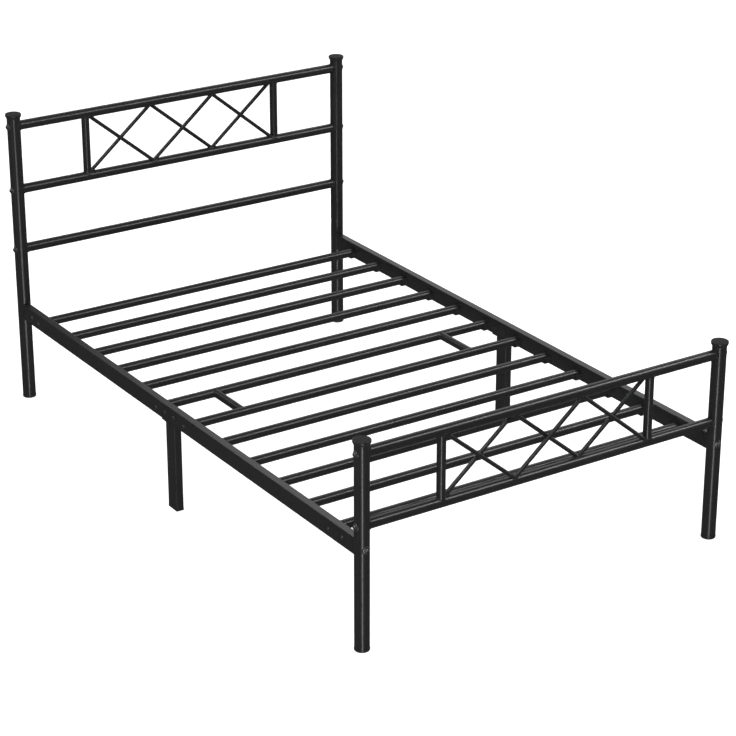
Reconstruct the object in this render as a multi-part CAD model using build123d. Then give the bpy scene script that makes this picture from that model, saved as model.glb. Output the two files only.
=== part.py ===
from build123d import *
import os

# Metal bed frame for a 120 x 190 cm mattress. Millimetres, +Z up, floor at Z = 0,
# +Y from the foot to the head, +X to the right when standing at the foot.

# overall layout
post_pitch_x = 1200.0      # post centre to post centre across the bed
post_pitch_y = 2000.0      # foot post centre to head post centre
head_height = 966.0        # floor to the top of a head cap
foot_height = 617.0        # floor to the top of a foot cap
side_rail_mid_z = 303.0    # mid height of the side rails
slat_z = 298.0             # axis height of the slats
rail_joint_y = 12.0        # where the two halves of a side rail meet
head_rail_drop = [42.5, 252.4, 451.8]    # cap top down to each rail axis
foot_rail_drop = [39.9, 248.6]

# tubes
post_dia, post_wall = 42.4, 1.5
rail_dia, rail_wall = 30.0, 1.2
stile_dia, stile_wall = 25.4, 1.2
slat_dia, slat_wall = 28.0, 1.2
tie_dia, tie_wall = 25.0, 1.2
side_w, side_h, side_wall, side_corner = 24.0, 51.0, 1.5, 2.0
rod_dia = 12.0

# panels between the rails
stile_pitch = 701.0        # stile centre to stile centre
cross_count = 3
rod_run = 251.5            # sideways run of a rod between the two rail axes
rod_gap = 0.1              # gap between the two rods of a cross where they pass

# slats: two equal groups, one on each half of the side rails
slats_per_half = 6
first_slat_offset = 83.0   # from the rail joint to the nearest slat
last_slat_gap = 123.4      # from the head post centre to the nearest slat
cradle_len, cradle_wall, cradle_rise = 20.0, 1.6, 6.0
tie_x = 411.0

# caps and glides
cap_overhang, cap_height, cap_rim, cap_spigot = 4.1, 15.0, 7.0, 18.0
cap_crown, neck_step, rim_round = 1.5, 0.6, 2.0
dome_mid = (0.7, 0.5)      # point of the dome's arc, as shares of its radius and its rise
glide_overhang, glide_height, glide_spigot, glide_round = 0.6, 8.0, 20.0, 2.5
leg_glide_height, leg_glide_spigot, leg_glide_lip = 4.0, 15.0, 0.6

# fasteners
bolt_r, screw_r = 3.9, 2.9
hole_play = 0.1            # radial clearance of every bolt and screw in its hole
bolt_head_r, bolt_head_h, bolt_bite = 7.0, 4.5, 22.0
washer_r, washer_t = 12.0, 2.0
insert_len = 28.0
screw_head_r, screw_head_h, screw_bite = 6.0, 3.2, 14.0
nut_flat, nut_h, thread_over = 10.0, 5.0, 1.5    # the leg bolts show a little thread past their nuts
head_root = 0.5            # a shank runs this far up into its head
socket_flat, socket_depth = 5.0, 2.4

# end plugs, splices and leg brackets
plug_end = 100.0           # plug reaches this far from the post centre
plug_screw = 78.0          # plug screw, from the post centre
splice_len, splice_wall = 120.0, 1.5
leg_bolt_pitch, leg_bolt_offset = 49.5, 4.0
bracket_t, bracket_lip = 3.0, 23.0
tongue_margin, tongue_over = 9.0, 16.0   # tongue beyond the bolts, along and above them
tongue_play, slot_play = 0.3, 1.0        # tongue in its slot, across and along

over = 1.0                 # a cutter runs this far past what it cuts
least_corner = 0.5         # smallest corner radius of the rail outline

half_x, half_y = post_pitch_x / 2, post_pitch_y / 2
post_r, rail_r, slat_r, rod_r = post_dia / 2, rail_dia / 2, slat_dia / 2, rod_dia / 2
bolt_hole_r, screw_hole_r = bolt_r + hole_play, screw_r + hole_play
head_rail_z = [head_height - drop for drop in head_rail_drop]
foot_rail_z = [foot_height - drop for drop in foot_rail_drop]
slat_pitch = (half_y - rail_joint_y - last_slat_gap - first_slat_offset) / (slats_per_half - 1)
side_bottom = side_rail_mid_z - side_h / 2
inner_face = half_x - side_w / 2
outer_face = half_x + side_w / 2
sides = {"left": -1, "right": 1}
ends = {"foot": -1, "head": 1}
post_height = {"foot": foot_height, "head": head_height}
panel_rail_z = {"foot": foot_rail_z, "head": head_rail_z}

os.makedirs("parts", exist_ok=True)


def save(name, shape):
    """Write one node; a list of shapes becomes a group of separate solids."""
    if isinstance(shape, list):
        shape = Compound(children=[s for s in shape])
    shape.label = name
    export_step(shape, f"parts/{name}.step")


def rod_between(a, b, r):
    """Solid round bar from point a to point b."""
    axis = Vector(*b) - Vector(*a)
    plane = Plane(origin=a, z_dir=axis)
    return plane * Cylinder(r, axis.length, align=(Align.CENTER, Align.CENTER, Align.MIN))


def bar_x(y, z, r, x0, x1):
    return rod_between((x0, y, z), (x1, y, z), r)


def bar_y(x, z, r, y0, y1):
    return rod_between((x, y0, z), (x, y1, z), r)


def bar_z(x, y, r, z0, z1):
    return rod_between((x, y, z0), (x, y, z1), r)


def box(x0, x1, y0, y1, z0, z1):
    size = (abs(x1 - x0), abs(y1 - y0), abs(z1 - z0))
    return Pos((x0 + x1) / 2, (y0 + y1) / 2, (z0 + z1) / 2) * Box(*size)


def one(shape):
    """The largest solid of a cut, without the offcuts."""
    return max(shape.solids(), key=lambda s: s.volume)


def tube_outline(inset):
    """Outline of the side rail and leg tube, moved inwards all round."""
    return RectangleRounded(side_w - 2 * inset, side_h - 2 * inset, max(side_corner - inset, least_corner))


def side_section(x, y0, y1, inset):
    """Bar along the bed with the outline of the side rail."""
    sketch = tube_outline(inset)
    plane = Plane(origin=(x, y0, side_rail_mid_z), x_dir=(1, 0, 0), z_dir=(0, 1, 0))
    return extrude(plane * sketch, y1 - y0)


def leg_bar(x, z0, z1, inset):
    """Upright bar under the rail joint with the outline of the leg tube."""
    return extrude(Plane.XY.offset(z0) * Pos(x, rail_joint_y) * tube_outline(inset), z1 - z0)


def button_head(r, h):
    """Domed head standing on Z = 0 with a hexagon socket in its crown."""
    dome_r = (r * r + h * h) / (2 * h)
    head = Pos(0, 0, h - dome_r) * Sphere(dome_r) & Pos(0, 0, h / 2) * Box(4 * r, 4 * r, h)
    socket = extrude(RegularPolygon(socket_flat / 2, 6, major_radius=False), socket_depth)
    return head - Pos(0, 0, h - socket_depth) * socket


def bolt(at, direction, head_r, head_h, r, length):
    """Bolt with its head seat at a point, its shank pointing along direction."""
    back = -Vector(*direction)
    from_end = (Align.CENTER, Align.CENTER, Align.MIN)
    shank = Pos(0, 0, -length) * Cylinder(r, length + head_root, align=from_end)
    return one(Plane(origin=at, z_dir=back) * (button_head(head_r, head_h) + shank))


# positions ------------------------------------------------------------

slat_y = []
for sign in (1, -1):
    for i in range(slats_per_half):
        slat_y.append(rail_joint_y + sign * (first_slat_offset + i * slat_pitch))
slat_y.sort(reverse=True)
bolted = [0, slats_per_half - 1, slats_per_half, 2 * slats_per_half - 1]

# posts, caps and glides -----------------------------------------------

panel_bolts, side_bolts, washers = [], [], []
for end, ey in ends.items():
    for side, sx in sides.items():
        x, y = sx * half_x, ey * half_y
        top = post_height[end] - cap_height
        post = bar_z(x, y, post_r, glide_height, top)
        post -= bar_z(x, y, post_r - post_wall, glide_height, top)
        reach = post_r + over
        for z in panel_rail_z[end]:
            post -= bar_x(y, z, bolt_hole_r, x - reach, x + reach)
        post -= bar_y(x, side_rail_mid_z, bolt_hole_r, y - reach, y + reach)
        save(f"{end}_post_{side}", one(post))

        # cap: spigot in the tube, tapered neck, rounded rim, low dome
        bore_r, cap_r = post_r - post_wall, post_r + cap_overhang
        edge_z = cap_height - cap_crown
        neck_z = edge_z - cap_rim
        outline = Polyline((0, -cap_spigot), (bore_r, -cap_spigot), (bore_r, 0), (post_r + neck_step, 0),
                           (cap_r, neck_z), (cap_r, edge_z))
        on_dome = (dome_mid[0] * cap_r, edge_z + dome_mid[1] * cap_crown)
        dome = ThreePointArc((cap_r, edge_z), on_dome, (0, cap_height))
        axis_line = Line((0, cap_height), (0, -cap_spigot))
        cap = revolve(Plane.XZ * make_face([outline, dome, axis_line]), Axis.Z)
        rims = [e for e in cap.edges().filter_by(GeomType.CIRCLE) if abs(e.radius - cap_r) < 0.01]
        cap = fillet(rims, rim_round)
        save(f"{end}_cap_{side}", Pos(x, y, top) * cap)

        foot = bar_z(x, y, post_r + glide_overhang, 0, glide_height)
        foot = fillet(foot.edges().filter_by(GeomType.CIRCLE).sort_by(Axis.Z)[0], glide_round)
        foot += bar_z(x, y, bore_r, glide_height, glide_height + glide_spigot)
        save(f"{end}_glide_{side}", one(foot))

        # panel rail bolts run across the bed, the side rail bolt along it
        seat = post_r + washer_t
        shank = seat + post_r + bolt_bite
        for z in panel_rail_z[end]:
            panel_bolts.append(bolt((x + sx * seat, y, z), (-sx, 0, 0),
                                    bolt_head_r, bolt_head_h, bolt_r, shank))
            z0, z1 = z - 2 * washer_r, z + 2 * washer_r
            ring = bar_x(y, z, washer_r, x, x + sx * seat) - bar_z(x, y, post_r, z0, z1)
            ring -= bar_x(y, z, bolt_hole_r, x, x + sx * (seat + over))
            ring &= bar_z(x, y, seat, z0, z1)
            washers.append(one(ring))
        side_bolts.append(
            bolt((x, y + ey * seat, side_rail_mid_z), (0, -ey, 0), bolt_head_r, bolt_head_h, bolt_r, shank))
        z0, z1 = side_rail_mid_z - 2 * washer_r, side_rail_mid_z + 2 * washer_r
        ring = bar_y(x, side_rail_mid_z, washer_r, y, y + ey * seat) - bar_z(x, y, post_r, z0, z1)
        ring -= bar_y(x, side_rail_mid_z, bolt_hole_r, y, y + ey * (seat + over))
        ring &= bar_z(x, y, seat, z0, z1)
        washers.append(one(ring))

save("panel_rail_bolts", panel_bolts)
save("side_rail_bolts", side_bolts)
save("saddle_washers", washers)

# head and foot panels --------------------------------------------------

rail_names = {"head": ["top", "middle", "lower"], "foot": ["top", "lower"]}
inserts = []
for end, ey in ends.items():
    y = ey * half_y
    for name, z in zip(rail_names[end], panel_rail_z[end]):
        rail = bar_x(y, z, rail_r, -half_x, half_x)
        for sx in (-1, 1):
            post = bar_z(sx * half_x, y, post_r, z - 2 * rail_r, z + 2 * rail_r)
            rail -= post
            start, stop = sx * half_x, sx * (half_x - post_r - insert_len)
            plug = bar_x(y, z, rail_r - rail_wall, start, stop) - post
            plug -= bar_x(y, z, bolt_hole_r, start, sx * (half_x - post_r - bolt_bite - over))
            inserts.append(one(plug))
        rail -= bar_x(y, z, rail_r - rail_wall, -half_x, half_x)
        save(f"{end}_{name}_rail", one(rail))

    high, low = panel_rail_z[end][:2]
    upper = bar_x(y, high, rail_r, -half_x, half_x)
    lower = bar_x(y, low, rail_r, -half_x, half_x)
    for side, sx in sides.items():
        x = sx * stile_pitch / 2
        stile = bar_z(x, y, stile_dia / 2, low, high) - upper - lower
        save(f"{end}_stile_{side}", one(one(stile) - bar_z(x, y, stile_dia / 2 - stile_wall, low, high)))

    # crosses side by side; in each the two rods pass front and back,
    # and rods that meet on a rail are trimmed against their neighbour
    cross_pitch = (stile_pitch - rod_run) / (cross_count - 1)
    shift = rod_r + rod_gap / 2
    stiles = [bar_z(sx * stile_pitch / 2, y, stile_dia / 2, low, high) for sx in (-1, 1)]
    bars, rods = [], []
    for i in range(cross_count):
        mid = (i - (cross_count - 1) / 2) * cross_pitch
        for lean in (1, -1):
            front = -1 if (lean == -1) == (i % 2 == 0) else 1
            ry = y + front * shift
            half_run = lean * rod_run / 2
            bar = rod_between((mid - half_run, ry, low), (mid + half_run, ry, high), rod_r)
            rod = bar - upper - lower - stiles[0] - stiles[1]
            for other in bars:
                rod = rod - other
            bars.append(bar)
            rods.append(one(rod))
    save(f"{end}_cross_rods", rods)

save("panel_rail_inserts", inserts)

# side rails, end plugs and splices -------------------------------------

leg_bolt_y = [rail_joint_y + leg_bolt_offset + k * leg_bolt_pitch / 2 for k in (-1, 1)]
tongue_y = (leg_bolt_y[0] - tongue_margin, leg_bolt_y[1] + tongue_margin)
slot_y = (tongue_y[0] - slot_play, tongue_y[1] + slot_play)
slot_x = bracket_t / 2 + tongue_play
plugs, plug_screws = [], []
for side, sx in sides.items():
    x = sx * half_x
    for end, ey in ends.items():
        post = bar_z(x, ey * half_y, post_r, side_bottom - over, side_bottom + side_h + over)
        y0, y1 = sorted((rail_joint_y, ey * half_y))
        rail = side_section(x, y0, y1, 0) - post - side_section(x, y0, y1, side_wall)
        rail -= box(x - slot_x, x + slot_x, slot_y[0], slot_y[1],
                    side_bottom - over, side_bottom + side_wall + over)
        screw_y = ey * (half_y - plug_screw)
        rail -= bar_x(screw_y, side_rail_mid_z, screw_hole_r, x, sx * (outer_face + over))
        for y in leg_bolt_y:
            rail -= bar_x(y, side_rail_mid_z, screw_hole_r, x - side_w, x + side_w)
        for i in bolted:
            rail -= bar_x(slat_y[i], slat_z, screw_hole_r, x - side_w, x + side_w)
        save(f"side_rail_{side}_{end}", one(rail))

        y0, y1 = sorted((ey * half_y, ey * (half_y - plug_end)))
        plug = side_section(x, y0, y1, side_wall) - post
        plug -= bar_y(x, side_rail_mid_z, bolt_hole_r, ey * half_y, ey * (half_y - post_r - bolt_bite - over))
        plug -= bar_x(screw_y, side_rail_mid_z, screw_hole_r,
                      sx * (outer_face - screw_bite - over), sx * (outer_face + over))
        plugs.append(one(plug))
        plug_screws.append(bolt((sx * outer_face, screw_y, side_rail_mid_z), (-sx, 0, 0),
                                screw_head_r, screw_head_h, screw_r, screw_bite))
save("side_rail_end_plugs", plugs)
save("plug_screws", plug_screws)

# middle legs ------------------------------------------------------------

leg_bolts, leg_nuts, leg_glides = [], [], []
for side, sx in sides.items():
    x = sx * half_x
    y0, y1 = rail_joint_y - splice_len / 2, rail_joint_y + splice_len / 2
    splice = side_section(x, y0, y1, side_wall) - side_section(x, y0, y1, side_wall + splice_wall)
    splice -= box(x - slot_x, x + slot_x, slot_y[0], slot_y[1],
                  side_bottom, side_bottom + side_wall + splice_wall + over)
    plate_z = side_bottom - bracket_t
    plate_y0 = min(rail_joint_y - side_h / 2, tongue_y[0])
    plate_y1 = max(rail_joint_y + side_h / 2 + bracket_lip, tongue_y[1])
    bracket = box(x - side_w / 2, x + side_w / 2, plate_y0, plate_y1, plate_z, side_bottom)
    bracket += box(x - bracket_t / 2, x + bracket_t / 2, tongue_y[0], tongue_y[1],
                   plate_z, side_rail_mid_z + tongue_over)
    for y in leg_bolt_y:
        splice -= bar_x(y, side_rail_mid_z, screw_hole_r, x - side_w, x + side_w)
        bracket -= bar_x(y, side_rail_mid_z, screw_hole_r, x - side_w, x + side_w)
        leg_bolts.append(bolt((sx * outer_face, y, side_rail_mid_z), (-sx, 0, 0),
                              screw_head_r, screw_head_h, screw_r, side_w + nut_h + thread_over))
        nut = extrude(RegularPolygon(nut_flat / 2, 6, major_radius=False), nut_h)
        nut -= Cylinder(screw_r, 3 * nut_h)
        leg_nuts.append(one(Plane(origin=(sx * inner_face, y, side_rail_mid_z), z_dir=(-sx, 0, 0)) * nut))
    save(f"rail_splice_{side}", one(splice))
    save(f"leg_bracket_{side}", one(bracket))

    leg = leg_bar(x, leg_glide_height, plate_z, 0) - leg_bar(x, leg_glide_height, plate_z, side_wall)
    save(f"middle_leg_{side}", one(leg))
    leg_glides.append(one(leg_bar(x, 0, leg_glide_height, -leg_glide_lip)
                          + leg_bar(x, leg_glide_height, leg_glide_height + leg_glide_spigot, side_wall)))
save("middle_leg_glides", leg_glides)
save("leg_bolts", leg_bolts)
save("leg_nuts", leg_nuts)

# slats, cradles and ties -------------------------------------------------

cradles = {"left": [], "right": []}
slat_inserts, slat_bolts = [], []
for i, y in enumerate(slat_y):
    slat = bar_x(y, slat_z, slat_r, -inner_face, inner_face)
    slat -= bar_x(y, slat_z, slat_r - slat_wall, -inner_face, inner_face)
    save(f"slat_{i + 1:02d}", one(slat))
    for side, sx in sides.items():
        x0, x1 = sorted((sx * inner_face, sx * (inner_face - cradle_len)))
        half, low = slat_r + cradle_wall, slat_z - slat_r - cradle_wall
        cradle = box(x0, x1, y - half, y + half, low, slat_z + cradle_rise)
        cradle -= bar_x(y, slat_z, slat_r, x0, x1)
        cradle -= box(x0, x1, y - slat_r, y + slat_r, slat_z, slat_z + cradle_rise + over)
        cradles[side].append(one(cradle))
        if i in bolted:
            plug = bar_x(y, slat_z, slat_r - slat_wall, sx * inner_face, sx * (inner_face - insert_len))
            plug -= bar_x(y, slat_z, screw_hole_r, sx * inner_face, sx * (inner_face - bolt_bite - over))
            slat_inserts.append(one(plug))
            slat_bolts.append(bolt((sx * outer_face, y, slat_z), (-sx, 0, 0),
                                   screw_head_r, screw_head_h, screw_r, side_w + bolt_bite))
for side in sides:
    save(f"slat_cradles_{side}", cradles[side])
save("slat_inserts", slat_inserts)
save("slat_bolts", slat_bolts)

y_far, y_near = slat_y[slats_per_half - 1], slat_y[slats_per_half]
for side, sx in sides.items():
    x = sx * tie_x
    tie = bar_y(x, slat_z, tie_dia / 2, y_near, y_far)
    for y in (y_near, y_far):
        tie -= bar_x(y, slat_z, slat_r, x - tie_dia, x + tie_dia)
    save(f"slat_tie_{side}", one(one(tie) - bar_y(x, slat_z, tie_dia / 2 - tie_wall, y_near, y_far)))
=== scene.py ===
import bpy, bmesh, math
from mathutils import Matrix, Vector


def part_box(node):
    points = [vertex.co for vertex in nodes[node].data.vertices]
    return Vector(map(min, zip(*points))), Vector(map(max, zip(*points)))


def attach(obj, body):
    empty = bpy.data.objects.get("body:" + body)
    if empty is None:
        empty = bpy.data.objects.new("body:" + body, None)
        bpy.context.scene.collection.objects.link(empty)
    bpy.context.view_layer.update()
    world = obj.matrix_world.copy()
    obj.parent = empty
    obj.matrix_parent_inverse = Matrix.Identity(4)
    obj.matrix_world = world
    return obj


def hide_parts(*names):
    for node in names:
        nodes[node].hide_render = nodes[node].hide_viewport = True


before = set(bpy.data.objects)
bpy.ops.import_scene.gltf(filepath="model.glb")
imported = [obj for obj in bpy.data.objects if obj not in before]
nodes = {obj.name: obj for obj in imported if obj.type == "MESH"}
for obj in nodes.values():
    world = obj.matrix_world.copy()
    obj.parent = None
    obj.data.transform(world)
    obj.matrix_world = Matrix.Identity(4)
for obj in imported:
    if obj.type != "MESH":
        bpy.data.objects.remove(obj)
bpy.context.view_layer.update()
scene = bpy.context.scene
print("frame loaded,", len(nodes), "nodes")

# camera, floor and light

camera = {"place": (-3.7065, -5.7709, 3.2477), "heading": 33.23, "down": 23.15, "lens": 119.8, "far": 200}
floor = {"size": 80.0, "drop": 0.0008, "tone": 0.85, "roughness": 0.9, "glow": 0.80}
# seen is what the camera sees, the rest lights the object; the horizon is blended between the two edges
sky = {"seen": 1.0, "zenith": 0.22, "horizon": 0.095, "below": 0.05, "edges": (0.49, 0.53)}
# each box: where it stands, what it points at, its width and height, and how bright its face is
softboxes = {
    "lowStrip": ((-3.7, -7.4, -2.9), (0, -1, 0.4), 0.8, 2.6, 15.0),
    "highStrip": ((3.3, -3.0, 4.4), (0, 0, 0.3), 4.2, 0.5, 17.0),
    "highStripLeft": ((-3.3, -3.0, 4.4), (0, 0, 0.3), 4.2, 0.5, 12.0),
    "backHighLeft": ((-3.3, 3.0, 4.4), (0, 0, 0.3), 4.2, 0.5, 12.0),
    "backHighRight": ((3.3, 3.0, 4.4), (0, 0, 0.3), 4.2, 0.5, 3.0),
    "leftStrip": ((-6.8, -1.8, 0.6), (0, 0, 0.4), 0.8, 1.6, 7.0),
    "rightStrip": ((6.8, -1.8, 0.6), (0, 0, 0.4), 0.8, 1.6, 7.0),
    "backLow": ((2.6, 6.8, -1.4), (0, 0, 0.4), 0.8, 2.4, 9.0),
    "farBox": ((4.3, 4.9, 3.1), (0, 0, 0.3), 4.8, 3.6, 0.72),
    "overBox": ((-1.0, 0.5, 6.0), (0, 0, 0.3), 4.0, 4.0, 0.5),
}


def grey(value):
    return (value, value, value, 1)


def makeCamera():
    data = bpy.data.cameras.new("camera")
    data.lens = camera["lens"]
    data.clip_end = camera["far"]
    cam = bpy.data.objects.new("camera", data)
    cam.location = camera["place"]
    cam.rotation_euler = (math.radians(90 - camera["down"]), 0, -math.radians(camera["heading"]))
    scene.collection.objects.link(cam)
    scene.camera = cam


class Val:
    # wraps an output socket so that shader maths reads as a sum
    def __init__(self, tree, sock):
        self.tree, self.sock = tree, sock

    def maths(self, kind, a, b):
        n = self.tree.nodes.new("ShaderNodeMath")
        n.operation = kind
        for i, v in enumerate((a, b)):
            if isinstance(v, Val):
                self.tree.links.new(v.sock, n.inputs[i])
            else:
                n.inputs[i].default_value = v
        return Val(self.tree, n.outputs[0])

    def __add__(self, o):
        return self.maths("ADD", self, o)

    def __radd__(self, o):
        return self.maths("ADD", o, self)

    def __mul__(self, o):
        return self.maths("MULTIPLY", self, o)

    def __rmul__(self, o):
        return self.maths("MULTIPLY", o, self)


class Shader:
    # one material's or world's tree; add() makes any node
    def __init__(self, owner):
        owner.use_nodes = True
        self.tree = owner.node_tree
        self.tree.nodes.clear()

    def add(self, kind, out=0, settings=None, **inputs):
        # an input is a socket's name with _ for each space, or i and its number
        n = self.tree.nodes.new("ShaderNode" + kind)
        for key, v in (settings or {}).items():
            if key == "stops":
                self.setStops(n.color_ramp, v)
            else:
                setattr(n, key, v)
        for key, v in inputs.items():
            numbered = key[0] == "i" and key[1:].isdigit()
            s = n.inputs[int(key[1:]) if numbered else key.replace("_", " ")]
            if isinstance(v, Val):
                self.tree.links.new(v.sock, s)
            else:
                s.default_value = v
        return Val(self.tree, n.outputs[out]) if out is not None else n

    def setStops(self, ramp, stops):
        # a new ramp has its first two stops already
        for i, (at, col) in enumerate(stops):
            stop = ramp.elements[i] if i < 2 else ramp.elements.new(at)
            stop.position = at
            stop.color = col

    def objectPlace(self):
        return self.add("TexCoord", out=3)

    def noise(self, at, scale, detail):
        return self.add("TexNoise", Vector=at, Scale=scale, Detail=detail, Roughness=0.5)

    def mixColor(self, factor, a, b):
        return self.add("Mix", out=2, settings={"data_type": "RGBA"}, i0=factor, i6=a, i7=b)

    def finish(self, shader, kind="OutputMaterial"):
        self.add(kind, out=None, Surface=shader)


def makeWorld():
    world = bpy.data.worlds.new("studio")
    scene.world = world
    s = Shader(world)
    up = s.add("SeparateXYZ", out=2, Vector=s.add("TexCoord", out=0))
    ramp = s.add("ValToRGB", Fac=up * 0.5 + 0.5, settings={"stops": [
        (0.0, grey(sky["below"])), (1.0, grey(sky["zenith"])),
        (sky["edges"][0], grey(sky["below"])), (sky["edges"][1], grey(sky["horizon"]))]})
    seen = s.add("LightPath", out=0)
    col = s.mixColor(seen, ramp, grey(sky["seen"]))
    s.finish(s.add("Background", Color=col, Strength=1.0), "OutputWorld")


def makeFloor():
    me = bpy.data.meshes.new("floor")
    bm = bmesh.new()
    bmesh.ops.create_grid(bm, x_segments=1, y_segments=1, size=floor["size"] / 2)
    bmesh.ops.translate(bm, verts=bm.verts, vec=(0, 0, -floor["drop"]))
    bm.to_mesh(me)
    bm.free()
    ob = bpy.data.objects.new("floor", me)
    scene.collection.objects.link(ob)
    mat = bpy.data.materials.new("paleFloor")
    s = Shader(mat)
    s.finish(s.add("BsdfPrincipled", Base_Color=grey(floor["tone"]), Roughness=floor["roughness"],
                   Emission_Color=grey(1), Emission_Strength=floor["glow"]))
    me.materials.append(mat)
    # the low boxes stand under the floor, which must not hide them from the coat
    ob.visible_glossy = False
    ob.visible_shadow = False


def makeLights():
    for name, (place, target, wide, high, bright) in softboxes.items():
        data = bpy.data.lights.new(name, "AREA")
        data.shape = "RECTANGLE"
        data.size = wide
        data.size_y = high
        data.energy = bright * math.pi * wide * high
        ob = bpy.data.objects.new(name, data)
        ob.location = place
        ob.rotation_euler = (Vector(target) - Vector(place)).to_track_quat("-Z", "Y").to_euler()
        ob.visible_camera = False
        scene.collection.objects.link(ob)


scene.view_settings.view_transform = "Standard"
makeCamera()
makeWorld()
makeFloor()
makeLights()
print("camera, floor and light made")

# finishes: a slow cloud blends a dark and a light tone and shifts the roughness, a fine bump lies on top

coat = {"dark": (0.0115, 0.0115, 0.012, 1), "light": (0.0165, 0.0165, 0.017, 1), "cloud": 14, "fine": 260,
        "rough": 0.245, "cloudRough": 0.05, "fineRough": 0.03,
        "peel": 850, "peelStrength": 0.020, "peelDepth": 0.0004}


def powderCoat():
    mat = bpy.data.materials.new("powderCoat")
    s = Shader(mat)
    at = s.objectPlace()
    cloud = s.noise(at, coat["cloud"], 3.0)
    col = s.mixColor(cloud, coat["dark"], coat["light"])
    fine = s.noise(at, coat["fine"], 1.0)
    rough = coat["rough"] + coat["cloudRough"] * cloud + coat["fineRough"] * fine
    peel = s.noise(at, coat["peel"], 1.5)    # orange peel about a millimetre across
    bump = s.add("Bump", Height=peel, Strength=coat["peelStrength"], Distance=coat["peelDepth"])
    s.finish(s.add("BsdfPrincipled", Base_Color=col, Roughness=rough, Normal=bump))
    return mat


# flat is how far up a face must look to start and to finish turning dull
plastic = {"dark": (0.013, 0.013, 0.014, 1), "light": (0.019, 0.019, 0.020, 1), "cloud": 22,
           "rough": 0.27, "dullRough": 0.40, "cloudRough": 0.05, "flat": (0.88, 0.985), "shine": 0.36,
           "grain": 1500.0, "grainStrength": 0.12, "grainDepth": 0.0002}


def blackPlastic():
    mat = bpy.data.materials.new("blackPlastic")
    s = Shader(mat)
    at = s.objectPlace()
    cloud = s.noise(at, plastic["cloud"], 2.0)
    col = s.mixColor(cloud, plastic["dark"], plastic["light"])
    # flat tops are spark-eroded and dull, the rounded rims polished by the mould
    up = s.add("SeparateXYZ", out=2, Vector=s.add("TexCoord", out=1))
    start, end = plastic["flat"]
    dull = s.add("MapRange", Value=up, From_Min=start, From_Max=end, To_Min=0.0, To_Max=1.0)
    rough = plastic["rough"] + plastic["dullRough"] * dull + plastic["cloudRough"] * cloud
    grain = s.add("TexVoronoi", Vector=at, Scale=plastic["grain"])
    bump = s.add("Bump", Height=grain * dull, Strength=plastic["grainStrength"],
                 Distance=plastic["grainDepth"])
    s.finish(s.add("BsdfPrincipled", Base_Color=col, Roughness=rough, Normal=bump,
                   Specular_IOR_Level=plastic["shine"]))
    return mat


zinc = {"dark": (0.085, 0.085, 0.090, 1), "light": (0.150, 0.150, 0.157, 1), "cloud": 180,
        "rough": 0.26, "cloudRough": 0.12, "metal": 0.85,
        "grain": 1400, "grainStrength": 0.06, "grainDepth": 0.0002}


def blackFastener():
    mat = bpy.data.materials.new("blackFastener")
    s = Shader(mat)
    at = s.objectPlace()
    cloud = s.noise(at, zinc["cloud"], 3.0)
    col = s.mixColor(cloud, zinc["dark"], zinc["light"])
    rough = zinc["rough"] + zinc["cloudRough"] * cloud
    grain = s.noise(at, zinc["grain"], 2.0)
    bump = s.add("Bump", Height=grain, Strength=zinc["grainStrength"], Distance=zinc["grainDepth"])
    s.finish(s.add("BsdfPrincipled", Base_Color=col, Roughness=rough, Metallic=zinc["metal"], Normal=bump))
    return mat


# streak is the scale of the drawing marks, long in X
steel = {"dark": (0.36, 0.36, 0.37, 1), "light": (0.50, 0.50, 0.51, 1), "streak": (40, 900, 900),
         "rough": 0.28, "streakRough": 0.18, "streakStrength": 0.10, "streakDepth": 0.0002}


def plainSteel():
    mat = bpy.data.materials.new("plainSteel")
    s = Shader(mat)
    at = s.objectPlace()
    streak = s.noise(s.add("Mapping", Vector=at, Scale=steel["streak"]), 1.0, 3.0)
    col = s.mixColor(streak, steel["dark"], steel["light"])
    rough = steel["rough"] + steel["streakRough"] * streak
    bump = s.add("Bump", Height=streak, Strength=steel["streakStrength"], Distance=steel["streakDepth"])
    s.finish(s.add("BsdfPrincipled", Base_Color=col, Roughness=rough, Metallic=1.0, Normal=bump))
    return mat


finishes = {"powder_coat": powderCoat(), "black_plastic": blackPlastic(),
            "black_fastener": blackFastener(), "plain_steel": plainSteel()}
for node in nodes.values():
    for place in node.material_slots:
        place.material = finishes[place.material.name.split(".")[0]]
print("finishes made")

# new pieces: welds, rail collars and washers

xWay = Vector((1, 0, 0))
yWay = Vector((0, 1, 0))
zWay = Vector((0, 0, 1))
sides = {"left": -1, "right": 1}
ends = {"foot": -1, "head": 1}
panels = {"foot": ["foot_top_rail", "foot_lower_rail"],
          "head": ["head_top_rail", "head_middle_rail", "head_lower_rail"]}
slats = sorted(name for name in nodes if name.startswith("slat_") and name[5:].isdigit())
samePoint = 1e-6    # vertices nearer than this become one


def tubeOf(name, axis):
    # centre and radius of a round CAD tube from its box; axis is the way it runs
    low, high = (Vector(corner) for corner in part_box(name))
    return (low + high) / 2, (high - low)[(axis + 1) % 3] / 2


def newPiece(name, bm, slot):
    bmesh.ops.remove_doubles(bm, verts=bm.verts, dist=samePoint)
    bmesh.ops.recalc_face_normals(bm, faces=bm.faces)
    for face in bm.faces:
        face.smooth = True
    me = bpy.data.meshes.new(name)
    bm.to_mesh(me)
    bm.free()
    me.materials.append(finishes[slot])
    ob = bpy.data.objects.new(name, me)
    scene.collection.objects.link(ob)
    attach(ob, "root")
    print(name, len(me.polygons), "faces")
    return ob


def joinInto(bm, part):
    me = bpy.data.meshes.new("part")
    part.to_mesh(me)
    part.free()
    bm.from_mesh(me)
    bpy.data.meshes.remove(me)


def placeAt(point, away):
    # a placing with its origin at the point and its Z pointing away from the tube below
    return Matrix.Translation(point) @ Vector(away).to_track_quat("Z", "Y").to_matrix().to_4x4()


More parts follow.
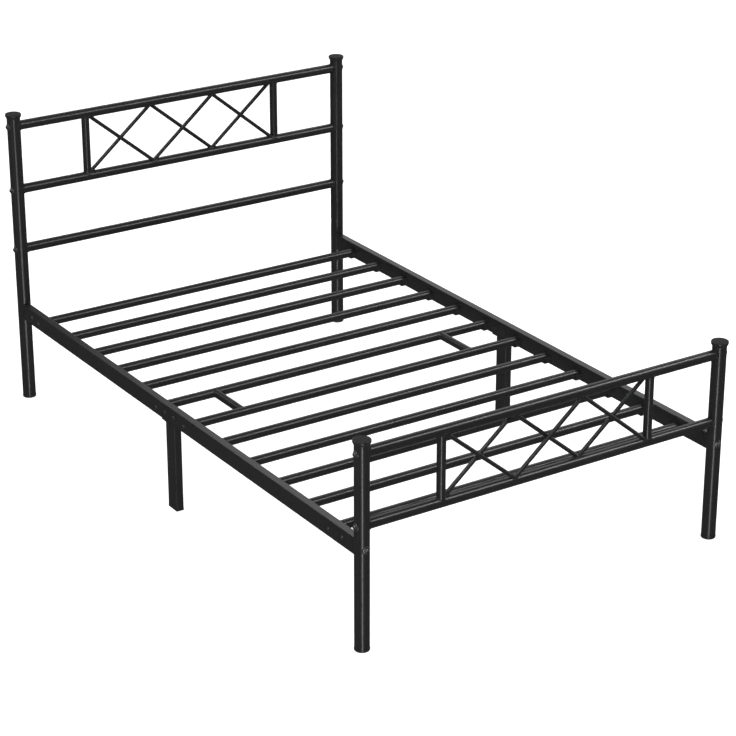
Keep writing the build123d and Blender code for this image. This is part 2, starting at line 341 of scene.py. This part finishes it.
def seatOnTube(bm, place, hostPoint, hostDir, hostRadius):
    # slides every vertex down its own Z until height 0 lies on the host tube
    down = -(place.to_3x3() @ zWay)
    slope = down - down.dot(hostDir) * hostDir
    for v in bm.verts:
        base = place @ Vector((v.co.x, v.co.y, 0))
        gap = base - hostPoint
        gap -= gap.dot(hostDir) * hostDir
        half = gap.dot(slope) / slope.length_squared
        rest = (gap.length_squared - hostRadius ** 2) / slope.length_squared
        reach = -half - math.sqrt(max(half ** 2 - rest, 0))
        v.co = base + down * (reach - v.co.z)


def spunRing(outline, steps):
    # closed outline in radius and height, spun once round Z
    bm = bmesh.new()
    verts = [bm.verts.new((r, 0, z)) for r, z in outline]
    edges = [bm.edges.new((verts[i - 1], v)) for i, v in enumerate(verts)]
    bmesh.ops.spin(bm, geom=verts + edges, cent=(0, 0, 0), axis=(0, 0, 1), angle=2 * math.pi,
                   steps=steps, use_merge=True)
    return bm


# dime is the length of one ripple
weld = {"bead": 0.0019, "lift": 0.0004, "sink": 0.0002, "sides": 8, "steps": 44,
        "dime": 0.0032, "ripple": 0.10}


def weldRing(radius):
    # bead of round section with the stacked ripples that a torch leaves
    bm = bmesh.new()
    ringR = radius - weld["sink"]
    section = Matrix.Translation((ringR, 0, weld["lift"])) @ Matrix.Rotation(math.pi / 2, 4, "X")
    bmesh.ops.create_circle(bm, segments=weld["sides"], radius=weld["bead"], matrix=section)
    bmesh.ops.spin(bm, geom=bm.verts[:] + bm.edges[:], cent=(0, 0, 0), axis=(0, 0, 1), angle=2 * math.pi,
                   steps=weld["steps"], use_merge=True)
    count = round(2 * math.pi * ringR / weld["dime"])
    for v in bm.verts:
        turn = math.atan2(v.co.y, v.co.x)
        mid = Vector((ringR * math.cos(turn), ringR * math.sin(turn), weld["lift"]))
        v.co = mid + (v.co - mid) * (1 + weld["ripple"] * math.cos(count * turn))
    return bm


# straight beads: inset sinks them into a cradle's end face, trim keeps them off a leg's corners
seam = {"bead": 0.0014, "sides": 6, "fewest": 6, "end": 0.4, "inset": 0.0003, "trim": 0.0015}


def weldLine(a, b):
    # straight bead from a to b with narrow ends and the same ripples
    span = Vector(b) - Vector(a)
    steps = max(seam["fewest"], round(span.length / weld["dime"] * 2))
    bm = bmesh.new()
    bmesh.ops.create_circle(bm, segments=seam["sides"], radius=seam["bead"])
    bmesh.ops.spin(bm, geom=bm.verts[:] + bm.edges[:], cent=(0, 0, 0), axis=(0, 0, 1), angle=0,
                   dvec=(0, 0, span.length / steps), steps=steps)
    bmesh.ops.holes_fill(bm, edges=[e for e in bm.edges if e.is_boundary], sides=seam["sides"])
    for v in bm.verts:
        i = round(v.co.z / span.length * steps)
        size = seam["end"] if i in (0, steps) else 1 + weld["ripple"] * (-1) ** i
        v.co.x *= size
        v.co.y *= size
    bmesh.ops.transform(bm, verts=bm.verts, matrix=placeAt(Vector(a), span))
    return bm


def stileWelds():
    bm = bmesh.new()
    for end, rails in panels.items():
        for side in sides:
            mid, radius = tubeOf(end + "_stile_" + side, 2)
            for rail, away in zip(rails, (-zWay, zWay)):
                host, hostR = tubeOf(rail, 0)
                place = placeAt(Vector((mid.x, host.y, host.z)), away)
                ring = weldRing(radius)
                seatOnTube(ring, place, host, xWay, hostR)
                joinInto(bm, ring)
    newPiece("stile_welds", bm, "powder_coat")


rods = {"crosses": 3, "run": 0.2515, "gap": 0.0001}


def rodWelds():
    # each cross has a rod leaning either way, one in front of the other
    bm = bmesh.new()
    for end, rails in panels.items():
        top, hostR = tubeOf(rails[0], 0)
        low = tubeOf(rails[1], 0)[0]
        stileX = tubeOf(end + "_stile_right", 2)[0].x
        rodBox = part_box(end + "_cross_rods")
        radius = ((rodBox[1] - rodBox[0]).y - rods["gap"]) / 4
        pitch = (2 * stileX - rods["run"]) / (rods["crosses"] - 1)
        for i in range(rods["crosses"]):
            midX = (i - (rods["crosses"] - 1) / 2) * pitch
            for lean in (1, -1):
                front = -1 if (lean == -1) == (i % 2 == 0) else 1
                y = top.y + front * (radius + rods["gap"] / 2)
                a = Vector((midX - lean * rods["run"] / 2, y, low.z))
                b = Vector((midX + lean * rods["run"] / 2, y, top.z))
                for spot, away, host in ((a, b - a, low), (b, a - b, top)):
                    ring = weldRing(radius)
                    seatOnTube(ring, placeAt(spot, away), host, xWay, hostR)
                    joinInto(bm, ring)
    newPiece("rod_welds", bm, "powder_coat")


def tieWelds():
    # the ties run between the two middle slats
    bm = bmesh.new()
    half = len(slats) // 2
    for side in sides:
        tie, radius = tubeOf("slat_tie_" + side, 1)
        for slat, away in ((slats[half - 1], -yWay), (slats[half], yWay)):
            host, hostR = tubeOf(slat, 0)
            ring = weldRing(radius)
            seatOnTube(ring, placeAt(Vector((tie.x, host.y, host.z)), away), host, xWay, hostR)
            joinInto(bm, ring)
    newPiece("tie_welds", bm, "powder_coat")


def cradleWelds():
    # down both edges of each cradle and along under it
    bm = bmesh.new()
    for side, sx in sides.items():
        low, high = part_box("slat_cradles_" + side)
        x = sx * (max(abs(low.x), abs(high.x)) - seam["inset"])
        for name in slats:
            slat = tubeOf(name, 0)[0]
            half = slat.z - low.z
            for y in (slat.y - half, slat.y + half):
                joinInto(bm, weldLine((x, y, high.z), (x, y, low.z)))
            joinInto(bm, weldLine((x, slat.y - half, low.z), (x, slat.y + half, low.z)))
    newPiece("cradle_welds", bm, "powder_coat")


def legWelds():
    # round the top of each middle leg, under its bracket plate
    bm = bmesh.new()
    trim = seam["trim"]
    for side in sides:
        low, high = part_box("middle_leg_" + side)
        for x in (low.x, high.x):
            joinInto(bm, weldLine((x, low.y + trim, high.z), (x, high.y - trim, high.z)))
        for y in (low.y, high.y):
            joinInto(bm, weldLine((low.x + trim, y, high.z), (high.x - trim, y, high.z)))
    newPiece("leg_welds", bm, "powder_coat")


collar = {"lip": 0.0013, "height": 0.0036, "round": 0.0009, "hidden": 0.0008, "steps": 64}


def railCollars():
    # thin lip of the insert between each rail end and its post
    bm = bmesh.new()
    for end, rails in panels.items():
        for rail in rails:
            mid, radius = tubeOf(rail, 0)
            inner = radius - collar["hidden"]
            outer = radius + collar["lip"]
            soft = collar["round"]
            high = collar["height"]
            outline = [(inner, 0), (outer, 0), (outer, high - soft), (outer - soft, high), (inner, high)]
            for side, sx in sides.items():
                post, postR = tubeOf(end + "_post_" + side, 2)
                ring = spunRing(outline, collar["steps"])
                seatOnTube(ring, placeAt(Vector((post.x, post.y, mid.z)), -sx * xWay), post, zWay, postR)
                joinInto(bm, ring)
    newPiece("rail_end_collars", bm, "black_plastic")


# dished washer; its outline is radius and height, out along the underside and back over the top
washer = {"steps": 56, "outline": [
    (0.0040, 0), (0.0120, 0), (0.0120, 0.0003), (0.0114, 0.0009), (0.0105, 0.0014), (0.0093, 0.0018),
    (0.0078, 0.0020), (0.0043, 0.0020), (0.0040, 0.0017)]}


def saddleWashers():
    # formed washers that lie on the post under each bolt head
    bm = bmesh.new()
    for end, ey in ends.items():
        for side, sx in sides.items():
            post, postR = tubeOf(end + "_post_" + side, 2)
            seats = [(tubeOf(rail, 0)[0].z, sx * xWay) for rail in panels[end]]
            sideLow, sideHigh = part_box("side_rail_" + side + "_" + end)
            seats.append(((sideLow.z + sideHigh.z) / 2, ey * yWay))
            for z, away in seats:
                ring = spunRing(washer["outline"], washer["steps"])
                seatOnTube(ring, placeAt(Vector((post.x, post.y, z)), away), post, zWay, postR)
                joinInto(bm, ring)
    piece = newPiece("post_washers", bm, "black_fastener")
    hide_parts("saddle_washers")


stileWelds()
rodWelds()
tieWelds()
cradleWelds()
legWelds()
railCollars()
saddleWashers()
print("new pieces made")
